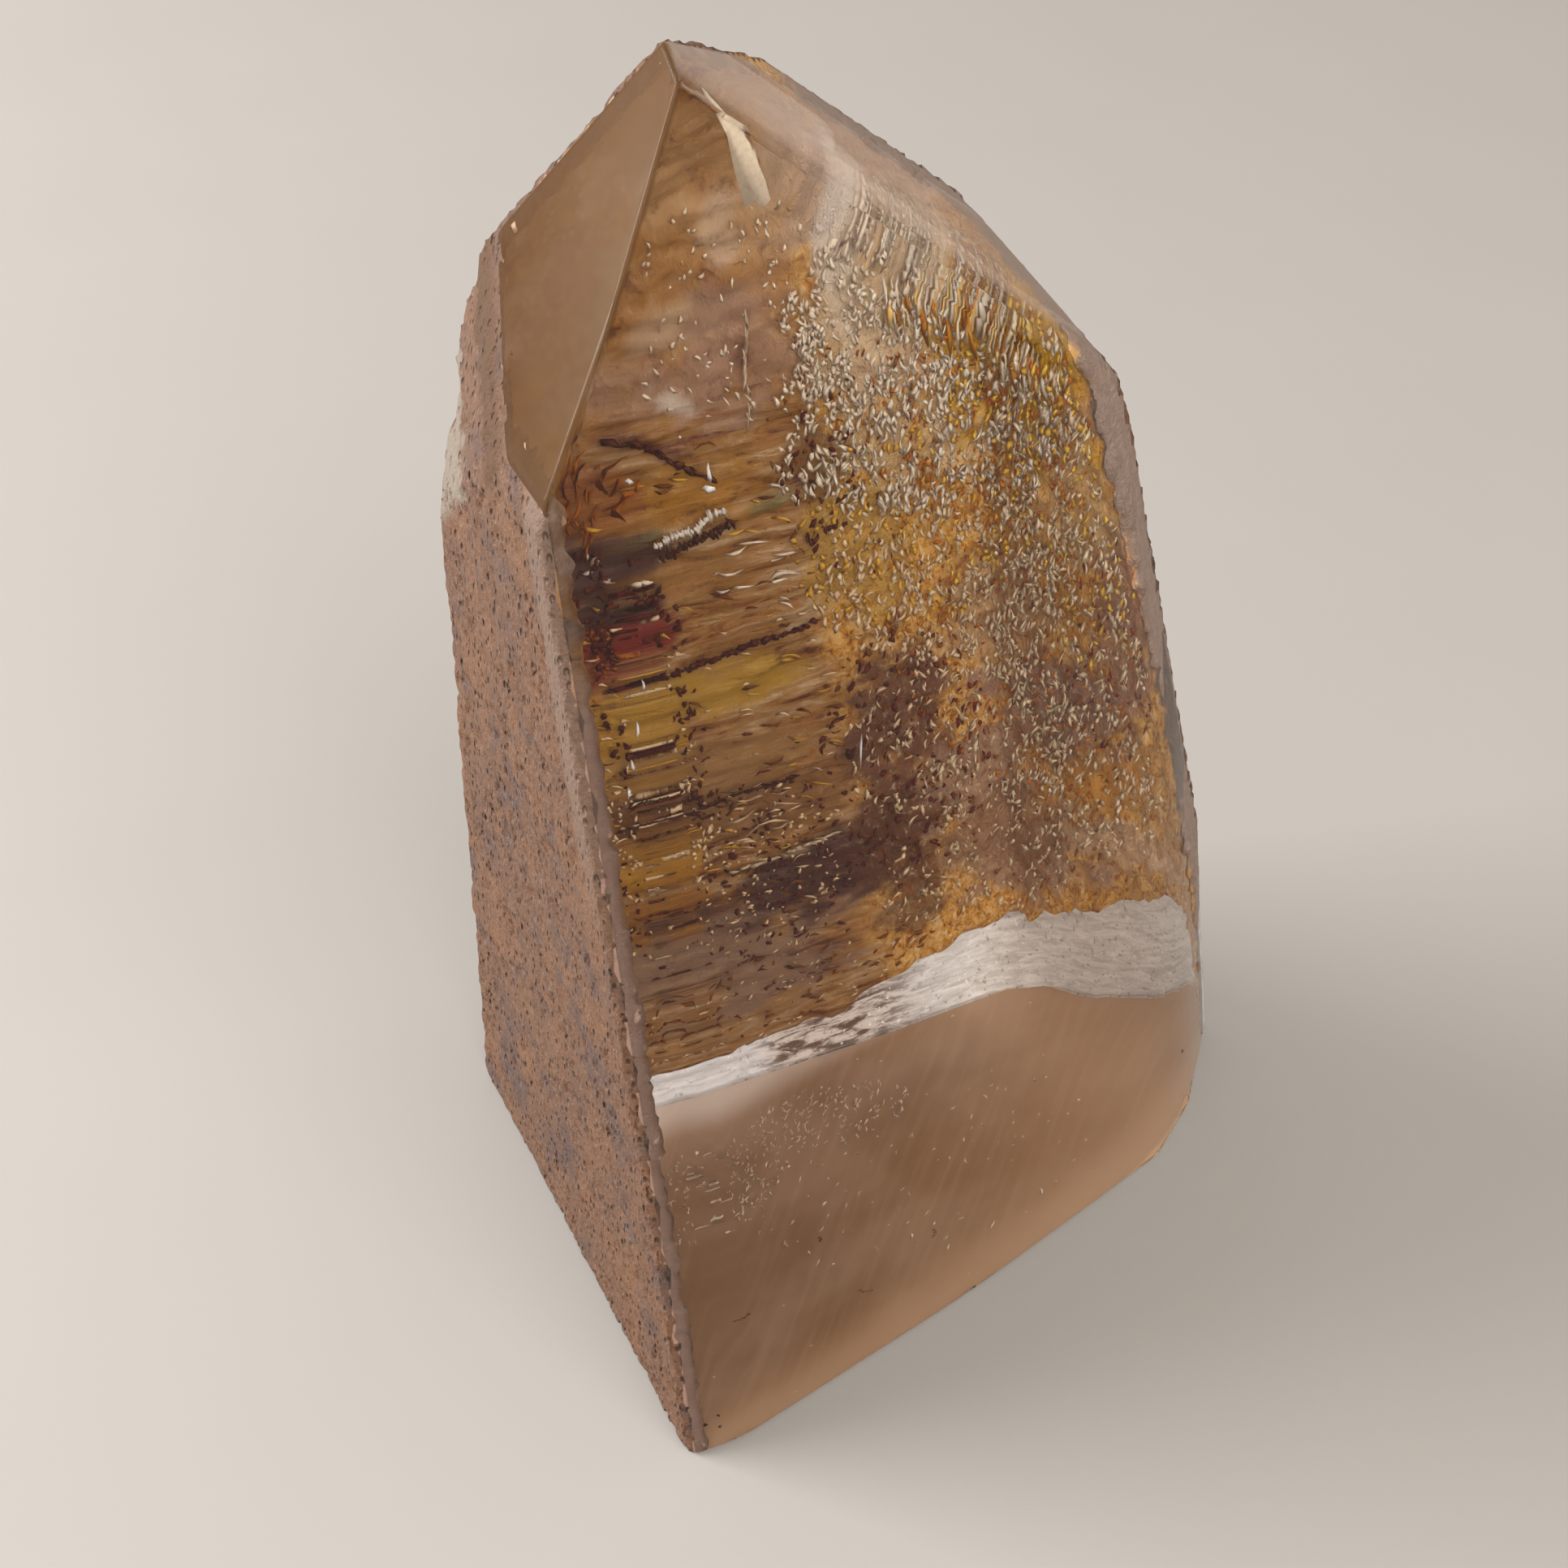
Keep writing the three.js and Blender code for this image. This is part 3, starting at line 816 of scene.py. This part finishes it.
class Paint:
    """A material under construction. Every node comes from node()."""

    def __init__(self, name):
        self.material = bpy.data.materials.new(name)
        self.material.use_nodes = True
        self.tree = self.material.node_tree
        self.tree.nodes.clear()
        self.output = self.tree.nodes.new("ShaderNodeOutputMaterial")
        self.place = self.node("ShaderNodeTexCoord").outputs["Object"]

    def node(self, kind, inputs=None, **settings):
        """Adds a node: settings first, then values or links for its sockets."""
        node = self.tree.nodes.new(kind)
        stops = settings.pop("stops", None)
        for name, value in settings.items():
            setattr(node, name, value)
        if stops:
            ramp = node.color_ramp.elements
            while len(ramp) < len(stops):
                ramp.new(0.5)
            for element, (position, colour) in zip(ramp, stops):
                element.position = position
                element.color = (*colour, 1)
        for key, value in (inputs or {}).items():
            self.feed(node.inputs[key], value)
        return node

    def feed(self, socket, value):
        if isinstance(value, Value):
            value = value.socket
        if isinstance(value, bpy.types.NodeSocket):
            self.tree.links.new(value, socket)
        elif socket.type == "RGBA" and len(value) == 3:
            socket.default_value = (*value, 1)
        else:
            socket.default_value = value

    def stretched(self, scale=(1, 1, 1), turn=(0, 0, 0), move=(0, 0, 0)):
        """Object coordinates in millimetres, turned, moved and scaled."""
        size = [component / MM for component in scale]
        inputs = {"Vector": self.place, "Scale": size, "Rotation": turn, "Location": move}
        return self.node("ShaderNodeMapping", inputs).outputs[0]

    def noise(self, place, scale=1.0, detail=3.0, rough=0.55, warp=0.0):
        inputs = {"Vector": place, "Scale": scale, "Detail": detail, "Roughness": rough, "Distortion": warp}
        return Value(self, self.node("ShaderNodeTexNoise", inputs).outputs[0])

    def cells(self, place, scale=1.0):
        """Distance to the middle of the nearest of many scattered cells."""
        node = self.node("ShaderNodeTexVoronoi", {"Vector": place, "Scale": scale})
        return Value(self, node.outputs["Distance"])

    def band(self, value, low, high):
        """0 below low, 1 above high, smooth between. low may be the larger of the two."""
        inputs = {0: value, 1: low, 2: high, 3: 0.0, 4: 1.0}
        node = self.node("ShaderNodeMapRange", inputs, interpolation_type="SMOOTHSTEP")
        return Value(self, node.outputs[0])

    def mix(self, share, first, second, blend="MIX"):
        node = self.node("ShaderNodeMix", data_type="RGBA", blend_type=blend)
        self.feed(node.inputs[0], share)
        self.feed(node.inputs[6], first)
        self.feed(node.inputs[7], second)
        return node.outputs[2]

    def cover(self, colour, value, low, high, share, tint):
        """Lays a tint over a colour, as strongly as share, where a value lies past high."""
        return self.mix(self.band(value, low, high) * share, colour, tint)

    def ramp(self, value, stops):
        """A colour for a value, between stops that are each a position and a colour."""
        return self.node("ShaderNodeValToRGB", {0: value}, stops=stops).outputs[0]

    def along(self, direction, offset=0.0):
        """Millimetres along a direction, less an offset."""
        inputs = {0: self.place, 1: tuple(direction)}
        node = self.node("ShaderNodeVectorMath", inputs, operation="DOT_PRODUCT")
        return Value(self, node.outputs["Value"]) * (1 / MM) - offset

    def bump(self, height, strength, distance):
        inputs = {"Height": height, "Strength": strength, "Distance": distance * MM}
        return self.node("ShaderNodeBump", inputs).outputs[0]

    def attribute(self, name):
        """Colour, value and alpha that the mesh carries under a name."""
        outputs = self.node("ShaderNodeAttribute", attribute_name=name).outputs
        return outputs["Color"], Value(self, outputs["Fac"]), Value(self, outputs["Alpha"])

    def surface(self, shader):
        self.tree.links.new(shader.outputs[0], self.output.inputs["Surface"])
        return self.material

    def principled(self, settings):
        return self.surface(self.node("ShaderNodeBsdfPrincipled", settings))


# ---- finishes
CLEAR_TINT = (0.98, 0.965, 0.95)
SMOKE_COLOUR = (0.80, 0.66, 0.47)
SMOKE_DENSITY = 6.0
QUARTZ_IOR = 1.544
SOFT_SHEEN = (0.45, 0.45, 0.45)

# Veils on the clear body's own faces: how much of the clear view each hides.
SATIN_SHARE = 0.78
ROOF_HAZE = 0.36
CROWN_HAZE = 0.55
FROST_SHARE = 0.88
FROST_TOP, FROST_FULL_BELOW = 19.0, 17.0


def past_face(paint, name):
    """Millimetres past one of the stone's faces, less than 0 inside the stone."""
    if name in POLISHED:
        return paint.along(POLISHED_NORMALS[name], POLISHED[name][2])
    return paint.along(NATURAL_NORMALS[name], NATURAL[name][2])


def face_mask(paint, name):
    """1 on one of the stone's faces, 0 elsewhere."""
    return paint.band(past_face(paint, name), -0.35, -0.1)


def veil_shader(paint, colour):
    """A milky or satin skin: half of it scatters back, half lets light through."""
    settings = {"Base Color": colour, "Roughness": 0.5, "Specular IOR Level": 0.05}
    back = paint.node("ShaderNodeBsdfPrincipled", settings)
    through = paint.node("ShaderNodeBsdfTranslucent", {"Color": colour})
    return paint.node("ShaderNodeMixShader", {0: 0.5, 1: back.outputs[0], 2: through.outputs[0]})


def satin_colour_with_painted_sheen(paint):
    """Brown of the satin upper left facet, with a painted sheen: paler to the top and towards its ridge."""
    # Paler to the top and towards the ridge: painted sheen.
    rise = paint.band(paint.along((0, 0, 1)), 46.0, 67.0)
    ridge = paint.band(past_face(paint, "front"), -8.0, -2.0)
    colour = paint.mix(rise, in_room(122, 66, 8), in_room(166, 114, 62))
    colour = paint.mix(ridge * 0.55, colour, in_room(184, 138, 92))
    cloud = paint.noise(paint.stretched((0.3, 0.3, 0.4), move=(3, 8, 2)), 1.0, 2.0, 0.6)
    colour = paint.cover(colour, cloud, 0.46, 0.62, 0.45, in_room(168, 122, 74))
    scratches = paint.noise(paint.stretched((0.5, 0.5, 5)), 1.0, 2.0, 0.6)
    return paint.cover(colour, scratches, 0.5, 0.75, 0.3, in_room(176, 138, 104))


def frost_colour(paint):
    """Grey-white of the natural foot: smooth at the right, dark and streaked left of the middle."""
    across = paint.along((1, 0, 0))
    streaks = paint.noise(paint.stretched((0.5, 0.5, 1.5), turn=(0, 0.3, 0)), 1.0, 4.0, 0.68, 0.6)
    marks = paint.noise(paint.stretched((3.2, 3.2, 1.8), move=(7, 2, 5)), 1.0, 2.0, 0.6)
    calm = paint.band(across, -8.5, -3.5).larger(paint.band(across, -13.5, -16.0))
    streaky = paint.mix(paint.band(streaks, 0.42, 0.60), tone(84, 64, 52), tone(196, 184, 176))
    pale = paint.mix(paint.band(streaks, 0.3, 0.7), tone(186, 180, 176), tone(230, 226, 222))
    left = paint.mix(paint.band(streaks, 0.3, 0.7), tone(168, 164, 164), tone(212, 210, 212))
    pale = paint.mix(paint.band(across, -9.0, 1.0), left, pale)
    colour = paint.mix(calm, streaky, pale)
    colour = paint.cover(colour, marks, 0.61, 0.69, 0.55, tone(120, 94, 76))
    return paint.cover(colour, marks, 0.36, 0.28, 0.6, tone(250, 244, 236))


def veil_colour(paint):
    """Colour of the milky veils on the crown, the roof, the satin facet and the natural foot."""
    foot = paint.band(paint.along((0, 0, 1)), FROST_TOP, FROST_FULL_BELOW)
    frost = paint.band(past_face(paint, "rough_corner"), -0.9, -0.6)
    for name in ("back_left", "back_right"):
        depth = past_face(paint, name)
        frost = frost.larger(paint.band(depth, -1.5, -1.3))
    frost = frost * foot
    colour = paint.mix(face_mask(paint, "roof"), tone(84, 58, 40), tone(206, 182, 164))
    colour = paint.mix(frost, colour, frost_colour(paint))
    return paint.mix(face_mask(paint, "upper_left"), colour, satin_colour_with_painted_sheen(paint)), frost


def clear_quartz_finish():
    """Polished clear quartz. Its upper left facet is satin, and its natural foot is frosted."""
    paint = Paint("clear_quartz")
    satin = face_mask(paint, "upper_left")
    glass = paint.node(
        "ShaderNodeBsdfPrincipled",
        {
            "Base Color": CLEAR_TINT,
            "Roughness": satin * 0.17 + 0.012,
            "IOR": QUARTZ_IOR,
            "Transmission Weight": 1.0,
            "Specular Tint": SOFT_SHEEN,
        },
    )
    colour, frost = veil_colour(paint)
    haze = (face_mask(paint, "roof") * ROOF_HAZE).larger(face_mask(paint, "crown") * CROWN_HAZE)
    share = (satin * SATIN_SHARE).larger(frost * FROST_SHARE).larger(haze)
    veil = veil_shader(paint, colour)
    whole = paint.node("ShaderNodeMixShader", {0: share, 1: glass.outputs[0], 2: veil.outputs[0]})
    smoke = paint.node("ShaderNodeVolumeAbsorption", {"Color": SMOKE_COLOUR, "Density": SMOKE_DENSITY})
    paint.tree.links.new(smoke.outputs[0], paint.output.inputs["Volume"])
    return paint.surface(whole)


def on_base(red, green, blue):
    """The colour the ground base needs so that it reads as this one through the stone."""
    return under_quartz(red, green, blue, BASE_LIGHT)


def ground_base_finish():
    """The flat cut base, ground to a satin: it glows brown through the stone, most at its edges, a glow
    painted into its colour.
    """
    paint = Paint("ground_base")
    strokes = paint.noise(paint.stretched((1.4, 0.08, 1), turn=(0, 0, math.radians(-15))), 1.0, 4.0)
    cloud = paint.noise(paint.stretched(), 0.09, 3.0)
    # right and to_edge carry a painted glow: the base is paler to the right and towards its front right
    # edges, where light comes through the stone.
    right = paint.band(paint.along((1, 0.2, 0)), -6.0, 20.0)
    to_edge = past_face(paint, "front_right")
    to_edge = to_edge.larger(past_face(paint, "right_corner"))
    colour = paint.mix(paint.band(cloud, 0.35, 0.65), on_base(112, 86, 68), on_base(132, 106, 88))
    colour = paint.mix(right * 0.75, colour, on_base(154, 122, 98))
    colour = paint.cover(colour, to_edge, -7.0, -1.0, 0.7, on_base(184, 146, 116))
    corner = paint.band(paint.along((-0.6, 0.8, 0)), 17.5, 21.0)
    colour = paint.mix(corner * 0.8, colour, on_base(178, 160, 148))
    colour = paint.cover(colour, strokes, 0.4, 0.8, 0.25, on_base(160, 132, 110))
    specks = paint.band(paint.cells(paint.stretched(), 0.5), 0.06, 0.03)
    colour = paint.mix(specks * 0.6, colour, on_base(186, 160, 138))
    return paint.principled({"Base Color": colour, "Roughness": 0.42})


def on_right(red, green, blue):
    return under_quartz(red, green, blue, RIGHT_LIGHT)


def inclusion_finish():
    """The garden seen through the clear quartz: streaked on the left, speckled on the right."""
    paint = Paint("inclusions")
    wander = paint.noise(paint.stretched(), 0.35, 3.0)
    across = paint.along((1, 0, 0), STREAKED_LEFT_OF) + wander * 2.4 - 1.2
    right = paint.band(across, -1.0, 1.5)
    cloudy = paint.band(paint.along((0, 0, 1)) + wander * 6 - 3, 49.0, 54.0)
    lying = paint.stretched((0.26, 0.26, 1.3), turn=(0, math.radians(-4), 0))
    streaks = paint.noise(lying, 1.0, 6.0, 0.68, 0.6)
    clouds = paint.noise(paint.stretched((0.75, 0.75, 0.6)), 1.0, 5.0, 0.62, 0.4)
    specks = paint.noise(paint.stretched((2.4, 2.4, 1.5)), 1.0, 4.0, 0.72, 0.7)
    left_grain = streaks * (1 - cloudy) + clouds * cloudy
    streaked = paint.ramp(
        left_grain,
        [
            (0.36, under_quartz(100, 60, 36)),
            (0.46, under_quartz(136, 94, 58)),
            (0.54, under_quartz(150, 110, 74)),
            (0.64, under_quartz(176, 144, 112)),
        ],
    )
    speckled = paint.ramp(
        specks,
        [
            (0.32, on_right(108, 64, 38)),
            (0.45, on_right(152, 102, 54)),
            (0.55, on_right(176, 126, 74)),
            (0.68, on_right(212, 170, 120)),
        ],
    )
    colour = paint.mix(right, streaked, speckled)
    patch, _, strength = paint.attribute("patches")
    colour = paint.mix(strength * 0.92, colour, patch)
    # Pale and dark flecks follow the same grain as the bumps: partly the garden's own pale and dark grains,
    # partly painted highlight on the raised grain and painted shade in its hollows.
    light = paint.mix(right, under_quartz(196, 152, 98), on_right(226, 196, 158))
    dark = paint.mix(right, under_quartz(72, 32, 18), on_right(100, 60, 38))
    grain = specks * right + (left_grain * 0.72 + specks * 0.28) * (1 - right)
    colour = paint.mix(paint.band(grain, 0.56, 0.72) * (0.42 + right * 0.13), colour, light)
    colour = paint.mix(paint.band(grain, 0.46, 0.32) * (0.8 - right * 0.25 - cloudy * 0.3), colour, dark)
    # Where the layer's edge comes close under a polished face it meets more light than the garden behind
    # it, so its colour is painted darker there: painted shade.
    _, rim, _ = paint.attribute("rim")
    colour = paint.mix(rim * 0.9, colour, (0.34, 0.31, 0.30), "MULTIPLY")
    low = paint.band(paint.along((0, 0, 1)), 50.0, 44.0)
    right_end = paint.band(paint.along((1, 0, 0)), -6.0, -3.0)
    skin = paint.mix(right_end, in_room(214, 166, 140), in_room(190, 158, 138))
    colour = paint.mix(rim * low.larger(right_end), colour, skin)
    bumps = paint.bump(grain, 0.8, 0.35)
    settings = {"Base Color": colour, "Roughness": 0.45, "Normal": bumps}
    return paint.principled(settings)


def grain_finish(name, roughness):
    """Separate grains, each with the tint it was made with, a little mottled."""
    paint = Paint(name)
    tint, _, _ = paint.attribute("tint")
    mottle = paint.noise(paint.stretched(), 4.0, 3.0)
    colour = paint.cover(tint, mottle, 0.45, 0.7, 0.2, under_quartz(150, 104, 66))
    settings = {"Base Color": colour, "Roughness": roughness, "Specular IOR Level": 0.12}
    return paint.principled(settings)


def natural_skin_finish():
    """The outside of the layer: matt mauve-brown with orange and grey blotches, dark pits, and a painted
    sheen on the worn strip along its front edge.
    """
    paint = Paint("natural_skin")
    millimetres = paint.stretched()
    blotches = paint.noise(millimetres, 0.22, 4.0, 0.6)
    greys = paint.noise(paint.stretched(move=(40, 9, 3)), 0.28, 4.0, 0.6)
    rusts = paint.noise(paint.stretched(move=(5, 31, 12)), 0.5, 4.0, 0.6)
    colour = paint.mix(paint.band(blotches, 0.42, 0.66), in_room(150, 108, 83), in_room(165, 117, 84))
    colour = paint.cover(colour, greys, 0.50, 0.66, 0.7, in_room(118, 96, 92))
    colour = paint.cover(colour, rusts, 0.56, 0.70, 0.6, in_room(168, 108, 68))
    pits = paint.cells(paint.stretched((2.2, 2.2, 1.15)), 1.0)
    grain = paint.noise(paint.stretched((3, 3, 1.8)), 1.6, 4.0, 0.65)
    colour = paint.cover(colour, pits, 0.30, 0.10, 0.75, in_room(84, 56, 48))
    colour = paint.cover(colour, grain, 0.56, 0.70, 0.62, in_room(206, 172, 150))
    colour = paint.cover(colour, grain, 0.45, 0.33, 0.62, in_room(88, 58, 47))
    ragged = paint.noise(millimetres, 0.8, 3.0)
    edge = paint.band(past_face(paint, "broken_edge"), -0.5, -0.2)
    from_facet = past_face(paint, "upper_left") + ragged * 1.4 - 0.7
    colour = paint.mix(edge * paint.band(from_facet, -1.1, -0.8), colour, in_room(128, 88, 54))
    colour = paint.mix(edge * paint.band(from_facet, -2.0, -2.4), colour, in_room(190, 170, 150))
    # Along the front edge the skin is worn smoother, and its paler mauve-grey there is painted sheen.
    from_ridge = past_face(paint, "front_corner")
    worn_with_sheen = paint.band(from_ridge + ragged, -2.0, -1.0)
    worn_with_sheen = worn_with_sheen * paint.band(paint.along((0, 0, 1)), WORN_FROM, WORN_FULL)
    colour = paint.mix(worn_with_sheen * 0.75, colour, in_room(172, 138, 118))
    bumps = paint.bump(paint.band(pits, 0.08, 0.34) + grain * 0.8, 0.9, 0.26)
    settings = {"Base Color": colour, "Roughness": 0.64 - worn_with_sheen * 0.2, "Normal": bumps}
    settings["Specular IOR Level"] = 0.25
    return paint.principled(settings)


# ---- setting
CAMERA_HEIGHT_ANGLE = 43.0
CAMERA_DISTANCE = 129.0
CAMERA_TARGET = Vector((-4.12, 7.70, 22.0))
CAMERA_VIEW_ANGLE = 38.0
ROOM_COLOUR = (1.0, 0.93, 0.86)
ROOM_STRENGTH = 0.95
# Each soft light: place, size, watts and colour. Both are turned to LIT_POINT.
WINDOW = ((-430, 40, 225), 300, 5.9, (0.99, 1.0, 1.01))
FRONT_FILL = ((150, -345, 330), 440, 3.3, (1.0, 0.985, 0.965))
LIT_POINT = Vector((0, 0, 25))
TABLE_TONES = ((0.234, 0.218, 0.199), (0.245, 0.229, 0.210))
TABLE_SIZE, TABLE_GAP = 4000, 0.06


def add_camera():
    data = bpy.data.cameras.new("camera")
    data.sensor_width = 36
    data.lens = 18 / math.tan(math.radians(CAMERA_VIEW_ANGLE / 2))
    data.clip_start, data.clip_end = 0.005, 10
    camera = bpy.data.objects.new("camera", data)
    bpy.context.scene.collection.objects.link(camera)
    rise = math.radians(CAMERA_HEIGHT_ANGLE)
    back = Vector((0, -math.cos(rise), math.sin(rise)))
    camera.location = (CAMERA_TARGET + back * CAMERA_DISTANCE) * MM
    camera.rotation_mode = "QUATERNION"
    camera.rotation_quaternion = (-back).to_track_quat("-Z", "Y")
    bpy.context.scene.camera = camera


def add_softbox(name, place, size, watts, colour):
    """A soft square light at a place in millimetres, turned to the stone."""
    data = bpy.data.lights.new(name, "AREA")
    data.shape = "SQUARE"
    data.size = size * MM
    data.energy = watts
    data.color = colour
    light = bpy.data.objects.new(name, data)
    bpy.context.scene.collection.objects.link(light)
    light.location = Vector(place) * MM
    aim = LIT_POINT * MM - light.location
    light.rotation_mode = "QUATERNION"
    light.rotation_quaternion = aim.to_track_quat("-Z", "Y")


def add_floor():
    deselect_everything()
    bpy.ops.mesh.primitive_plane_add(size=TABLE_SIZE * MM, location=(0, 0, -TABLE_GAP * MM))
    floor = bpy.context.active_object
    floor.name = "table"
    paint = Paint("table_top")
    grain = paint.noise(paint.stretched(), 0.05, 3.0)
    colour = paint.mix(grain, *TABLE_TONES)
    floor.data.materials.append(paint.principled({"Base Color": colour, "Roughness": 0.8}))


def add_setting():
    world = bpy.data.worlds.new("room")
    bpy.context.scene.world = world
    world.use_nodes = True
    background = world.node_tree.nodes["Background"]
    background.inputs["Color"].default_value = (*ROOM_COLOUR, 1)
    background.inputs["Strength"].default_value = ROOM_STRENGTH
    add_softbox("window", *WINDOW)
    add_softbox("front_fill", *FRONT_FILL)
    bpy.context.scene.view_settings.view_transform = "Standard"
    add_floor()
    add_camera()


# ---- assembly
def finish_quartz(quartz):
    quartz.data.materials.append(clear_quartz_finish())
    quartz.data.materials.append(ground_base_finish())
    for polygon in quartz.data.polygons:
        flat_down = polygon.normal.z < -0.9 and polygon.center.z < 0.2 * MM
        polygon.material_index = 1 if flat_down else 0
    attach(quartz, "root")
    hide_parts("clear_quartz")


def finish_layer(layer):
    layer.data.materials.append(natural_skin_finish())
    layer.data.materials.append(inclusion_finish())
    paint_by_depth(layer)
    paint_patches(layer)
    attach(layer, "root")
    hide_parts("garden_layer")


def finish_grains(grains, roughness):
    grains.data.materials.append(grain_finish(grains.name, roughness))
    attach(grains, "root")


add_setting()
finish_quartz(build_clear_quartz())
finish_layer(build_layer())
finish_grains(build_grains(), roughness=0.4)
finish_grains(build_base_specks(), roughness=0.5)
